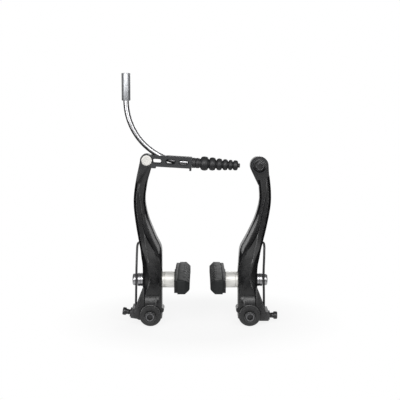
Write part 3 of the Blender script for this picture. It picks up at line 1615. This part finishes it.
@dataclass
class CableLead:
    """The curved pipe that leads the cable, with its ferrule, liner and bellows."""

    link_length: float = LINK_LENGTH
    end_plate: float = END_PLATE
    radius: float = 1.9
    wall: float = 0.6
    bend_radius: float = 42.0
    bend_start: float = 25.7
    collar_radius: float = 2.4
    collar_length: float = 2.2
    nose_radius: float = 1.65
    nose_length: float = 6.0
    in_ferrule: float = 5.0
    ferrule_radius: float = 2.95
    ferrule_length: float = 18.5
    ferrule_rim: tuple[Pair, ...] = ((0.3, 0), (0.1, 0.06), (0, 0.16))
    socket_radius: float = 2.55
    socket_depth: float = 12.0
    boot_length: float = 32.84
    boot_gap: float = 0.06
    boot_radius: float = 4.85
    boot_neck: float = 3.5
    boot_valley: float = 0.68
    boot_bore: float = 1.1
    ribs: tuple[tuple[float, float, float], ...] = (
        (5.9, 11.1, 1.0), (11.7, 16.1, 0.93), (16.7, 20.4, 0.85), (20.9, 24.3, 0.79),
        (24.8, 27.5, 0.745), (27.9, 31.2, 0.72))

    def bend_end(self) -> Matrix:
        """Place of the end of the bend, with z along the pipe's upper stretch."""
        centre = Matrix.Translation((self.bend_start, 0, self.bend_radius))
        turn = Matrix.Rotation(-LINK_SLOPE, 4, "Y")
        return centre @ turn @ Matrix.Translation((-self.bend_radius, 0, 0))

    def pipe(self) -> Piece:
        """Draws the pipe out of its collar, round its bend and up into the ferrule."""
        collar_end = self.link_length - self.end_plate - 0.1
        collar_start = collar_end - self.collar_length
        bore = self.radius - self.wall
        outline = [
            (self.bend_start, self.radius), (collar_start, self.radius),
            (collar_start + 0.05, self.collar_radius - 0.3),
            (collar_start + 0.3, self.collar_radius), (collar_end - 0.3, self.collar_radius),
            (collar_end, self.collar_radius - 0.3), (collar_end, self.nose_radius),
            (self.link_length + self.nose_length - 0.2, self.nose_radius),
            (self.link_length + self.nose_length, self.nose_radius - 0.2),
            (self.link_length + self.nose_length, bore), (self.bend_start, bore)]
        pipe = spun("polished_pipe", outline, SOME_STEPS)
        turn = math.radians(90) - LINK_SLOPE
        with editing(pipe):
            pick_points(pipe, lambda p: abs(p.x - self.bend_start) < 0.001)
            bpy.ops.mesh.spin(steps=ROUND_STEPS, angle=-turn,
                              center=(self.bend_start, 0, self.bend_radius), axis=(0, 1, 0))
            up = self.bend_end().to_3x3() @ Vector((0, 0, 1))
            bpy.ops.mesh.extrude_region_move(
                TRANSFORM_OT_translate={"value": up * self.in_ferrule})
            bpy.ops.mesh.bridge_edge_loops()
            bpy.ops.mesh.select_all(action="SELECT")
            bpy.ops.mesh.remove_doubles(threshold=MERGE_DISTANCE)
            bpy.ops.mesh.normals_make_consistent(inside=False)
        return pipe

    def ferrule(self) -> Piece:
        """Turns the ferrule that takes the cable's casing."""
        r, end = self.ferrule_radius, self.ferrule_length
        seat = end - self.socket_depth
        pipe_bore = self.radius + 0.05
        outline = [
            (0, pipe_bore), (0, r - 0.4), (0.12, r - 0.15), (0.4, r),
            *rim(end, r, self.ferrule_rim), (end, self.socket_radius + 0.08),
            (end - 0.25, self.socket_radius), (seat, self.socket_radius), (seat, self.boot_bore),
            (self.in_ferrule + 0.05, self.boot_bore), (self.in_ferrule + 0.05, pipe_bore),
            (0, pipe_bore)]
        return turn_to(spun("drawn_ferrule", outline), TO_TOP)

    def boot(self) -> Piece:
        """Turns the bellows with its ribbed neck and its shrinking folds."""
        drawn = self.ribs[-1][1] + 1.4
        neck, steps = self.boot_neck, 14
        outline: list[Pair] = [
            (0, self.nose_radius + 0.05), (0, neck - 0.2), (0.08, neck - 0.05), (0.2, neck),
            (2.1, neck), (2.4, neck - 0.12), (2.6, neck - 0.35), (2.8, neck - 0.12), (3.1, neck),
            (4.5, neck), (4.8, neck - 0.12), (5.0, neck - 0.35), (5.4, neck - 0.36),
            (5.8, neck - 0.35)]
        for start, end, share in self.ribs:
            top = share * self.boot_radius
            low = top * self.boot_valley
            for k in range(steps + 1):
                t = k / steps
                swell = math.sin(math.pi * t) ** 0.35
                outline.append((start + (end - start) * t, low + (top - low) * swell))
        tip = self.ribs[-1][1] + 0.2
        outline += [(tip, 1.5), (tip + 0.8, 1.5), (tip + 1.1, 1.4), (drawn, 1.2),
                    (drawn, self.boot_bore), (self.nose_length + 0.2, self.boot_bore),
                    (self.nose_length + 0.2, self.nose_radius + 0.05), (0, self.nose_radius + 0.05)]
        stretch = self.boot_length / drawn
        return spun("rubber_bellows", [(x * stretch, r) for x, r in outline], FINE_STEPS)

    def make(self) -> None:
        """Builds the pipe, the ferrule and the bellows, and dresses the liner."""
        pipe = settle(dress(self.pipe(), LEAD_CHROME), on_link())
        hand_over(pipe, "cable_lead", "lead_chrome", "lead_pipe")
        ferrule = settle(dress(self.ferrule(), FERRULE_ALLOY), on_link() @ self.bend_end())
        hand_over(ferrule, "cable_lead", "ferrule_alloy", "casing_ferrule")
        start = Matrix.Translation((self.link_length + self.boot_gap, 0, 0))
        boot = settle(dress(self.boot(), BOOT_RUBBER), on_link() @ start)
        hand_over(boot, "cable_lead", "boot_rubber", "boot")
        keep_node("lead_liner", LINER_PLASTIC, 0)


@dataclass
class CableAnchor:
    """The bolt and plate that clamp the inner cable to the right arm."""

    plate_thickness: float = 1.8
    flange_thickness: float = 1.2
    flange_radius: float = 4.6
    thread_radius: float = 2.5
    head_radius: float = 3.4
    head_height: float = 4.7
    head_rim: tuple[Pair, ...] = ((0.7, 0), (0.3, 0.12), (0.08, 0.35), (0, 0.6))
    flange_rim: tuple[Pair, ...] = ((0.35, 0), (0.1, 0.2), (0, 0.6))
    socket_radius: float = 2.3
    thread_pitch: float = 0.8
    thread_depth: float = 0.35

    @property
    def end(self) -> float:
        """Distance of the bolt head's face from the posts' plane."""
        return ANCHOR_FRONT + self.plate_thickness + self.flange_thickness + self.head_height

    def bolt(self) -> Piece:
        """Turns the flanged bolt, cuts its thread and sinks its socket."""
        flange = ANCHOR_FRONT + self.plate_thickness
        head = flange + self.flange_thickness
        end, r = self.end, self.head_radius
        start = ANCHOR_BACK - 0.5
        outline = rod_outline([
            (start, self.thread_radius - 0.4),
            *fine_outline(start + 0.4, ANCHOR_FRONT, self.thread_radius, self.thread_pitch / 8),
            (flange, self.thread_radius - 0.1), (flange, self.flange_radius - 0.15),
            (flange + 0.15, self.flange_radius), *rim(head, self.flange_radius, self.flange_rim),
            (head, r + 0.2), (head + 0.2, r), *rim(end, r, self.head_rim),
            (end, self.socket_radius + 0.35), (end - 0.3, self.socket_radius + 0.05)])
        bolt = spun("anchor_cap_bolt", outline)
        thread(bolt, start + 0.4, ANCHOR_FRONT, self.thread_radius, self.thread_pitch,
               self.thread_depth)
        socket = hexagon("socket", self.socket_radius, end - 3, end + 1)
        return combine(bolt, socket, Join.CUT)

    def make(self) -> None:
        """Builds the bolt and dresses the clamp plate."""
        bolt = dress(self.bolt(), BOLT_BLACK)
        worn = self.socket_radius + 0.4
        dress_faces(bolt, SOCKET_STEEL,
                    lambda p: p.x > self.end - 0.4 and math.hypot(p.y, p.z) < worn)
        settle(bolt, on_side(Side.RIGHT) @ at_front(ANCHOR_X, ANCHOR_Z))
        hand_over(bolt, Side.RIGHT.body, "black_steel", "cable_anchor_bolt")
        keep_node("cable_clamp_plate", LINK_GREY, 0.25)


@dataclass(frozen=True)
class Lamp:
    """One soft lamp, with its place and size in metres and its power in watts."""

    name: str
    place: Point
    size: Pair
    power: float

    def hang(self, aim: Point) -> None:
        """Hangs the lamp at its place, facing a point.

        Args:
            aim: the point that it faces.
        """
        data = bpy.data.lights.new(self.name, "AREA")
        data.shape = "RECTANGLE"
        data.size, data.size_y = self.size
        data.energy = self.power
        lamp = bpy.data.objects.new(self.name, data)
        lamp.location = self.place
        towards = Vector(aim) - Vector(self.place)
        lamp.rotation_euler = towards.to_track_quat("-Z", "Y").to_euler()
        bpy.context.scene.collection.objects.link(lamp)


@dataclass
class Studio:
    """The floor, the room, the lamps and the camera."""

    camera_place: Point = (0.0, -0.640, 0.146)
    camera_down: float = 6.095
    lens: float = 82.04
    sensor: float = 36.0
    white: Colour = (1.0, 1.0, 1.0)
    floor_tone: Colour = (0.90, 0.90, 0.90)
    floor_radius: float = 0.11
    shadow_share: float = 0.14
    shadow_span: Pair = (0.06, 0.1045)
    dark_room: float = 0.03
    soft_room: float = 0.30
    diffuse_share: float = 0.6
    wall_span: Pair = (0.86, 0.96)
    ceiling_span: Pair = (0.2, 0.95)
    aim: Point = (0.0, 0.0, 0.06)
    lamps: tuple[Lamp, ...] = (
        Lamp("high_window", (0.0, -1.0, 0.60), (0.8, 0.35), 8.0),
        Lamp("front_window", (0.0, -1.1, 0.15), (0.5, 0.3), 0.8),
        Lamp("left_window", (-0.65, -0.95, 0.22), (0.4, 0.6), 5.5),
        Lamp("right_window", (0.65, -0.95, 0.22), (0.4, 0.6), 4.0),
        Lamp("back_window", (0.35, 1.05, 0.55), (0.8, 0.5), 4.0))

    def camera(self) -> None:
        """Sets the camera at the photograph's place and angle."""
        data = bpy.data.cameras.new("photo_camera")
        data.sensor_width = self.sensor
        data.lens = self.lens
        data.clip_start = 0.01
        data.clip_end = 50.0
        camera = bpy.data.objects.new("photo_camera", data)
        camera.location = self.camera_place
        camera.rotation_euler = (math.radians(90 - self.camera_down), 0, 0)
        bpy.context.scene.collection.objects.link(camera)
        bpy.context.scene.camera = camera

    def floor(self, height: float) -> None:
        """Lays a round sheet of pale paper under the brake.

        Args:
            height: height of the floor, in metres.
        """
        deselect_all()
        bpy.ops.mesh.primitive_circle_add(vertices=96, radius=self.floor_radius,
                                          fill_type="NGON", location=(0, 0, height))
        sheet = bpy.context.object
        sheet.name = "paper_floor"
        bpy.ops.object.transform_apply(location=True, rotation=True, scale=True)
        sheet.data.materials.append(self.paper())
        sheet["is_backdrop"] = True

    def paper(self) -> bpy.types.Material:
        """Makes the pale paper, which takes shadows near the brake and is white further out.

        Returns:
            The paper's material.
        """
        material = bpy.data.materials.new("pale_paper")
        nodes = Nodes(material, "ShaderNodeOutputMaterial")
        shader = nodes.add("ShaderNodeBsdfDiffuse", Color=(*self.floor_tone, 1.0))
        glow = nodes.add("ShaderNodeEmission", Color=(*self.white, 1.0), Strength=1.0)
        rays = nodes.add("ShaderNodeLightPath").outputs
        seen = nodes.reckoned("MAXIMUM", rays["Is Camera Ray"], rays["Is Glossy Ray"])
        through = nodes.reckoned("MAXIMUM", seen, rays["Is Transmission Ray"])
        reach = nodes.add("ShaderNodeVectorMath", operation="LENGTH")
        nodes.link(nodes.position, reach.inputs[0])
        plain = nodes.ranged(reach.outputs["Value"], (1 - self.shadow_share, 1.0), self.shadow_span)
        share = nodes.reckoned("MULTIPLY", through, plain)
        mix = nodes.add("ShaderNodeMixShader")
        for place, source in enumerate((share, shader.outputs[0], glow.outputs[0])):
            nodes.link(source, mix.inputs[place])
        nodes.link(mix.outputs[0], nodes.output.inputs["Surface"])
        return material

    def room(self) -> None:
        """Makes the room: white where the camera looks, a lit far wall and a dim rest."""
        world = bpy.data.worlds.new("studio_room")
        bpy.context.scene.world = world
        nodes = Nodes(world, "ShaderNodeOutputWorld", "Generated")
        parts = nodes.add("ShaderNodeSeparateXYZ")
        nodes.link(nodes.position, parts.inputs[0])
        wall = nodes.ranged(parts.outputs["Y"], (self.dark_room, 1.0), self.wall_span, "SMOOTHSTEP")
        ceiling = nodes.ranged(parts.outputs["Z"], (0.0, self.soft_room), self.ceiling_span,
                               "SMOOTHSTEP")
        both = nodes.reckoned("ADD", wall, ceiling)
        rays = nodes.add("ShaderNodeLightPath").outputs
        shiny = nodes.reckoned("MAXIMUM", rays["Is Glossy Ray"], rays["Is Transmission Ray"])
        soft = self.soft_room * self.diffuse_share
        reflected = nodes.blended(shiny, (soft, soft, soft), both)
        shown = nodes.blended(rays["Is Camera Ray"], reflected, self.white)
        light = nodes.add("ShaderNodeBackground")
        nodes.link(shown, light.inputs["Color"])
        nodes.link(light.outputs[0], nodes.output.inputs["Surface"])

    def make(self, floor_height: float) -> None:
        """Sets up the whole studio.

        Args:
            floor_height: height of the floor, in metres.
        """
        bpy.context.scene.view_settings.view_transform = "Standard"
        self.camera()
        self.floor(floor_height)
        self.room()
        for lamp in self.lamps:
            lamp.hang(self.aim)
        log.info("studio: camera, floor, room and %d lamps", len(self.lamps))


def main() -> None:
    """Builds every sub-assembly in order."""
    logging.basicConfig(level=logging.INFO, format="%(name)s: %(message)s")
    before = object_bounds()
    Studio().make(before[0].z)
    Arm(Side.LEFT).make()
    Arm(Side.RIGHT, top=96.5).make()
    PivotFastening().make()
    for side in Side:
        ReturnSpring(side).make()
    SpringTension().make()
    BrakePads().make()
    Link().make()
    CableLead().make()
    CableAnchor().make()


if __name__ == "__main__":
    main()
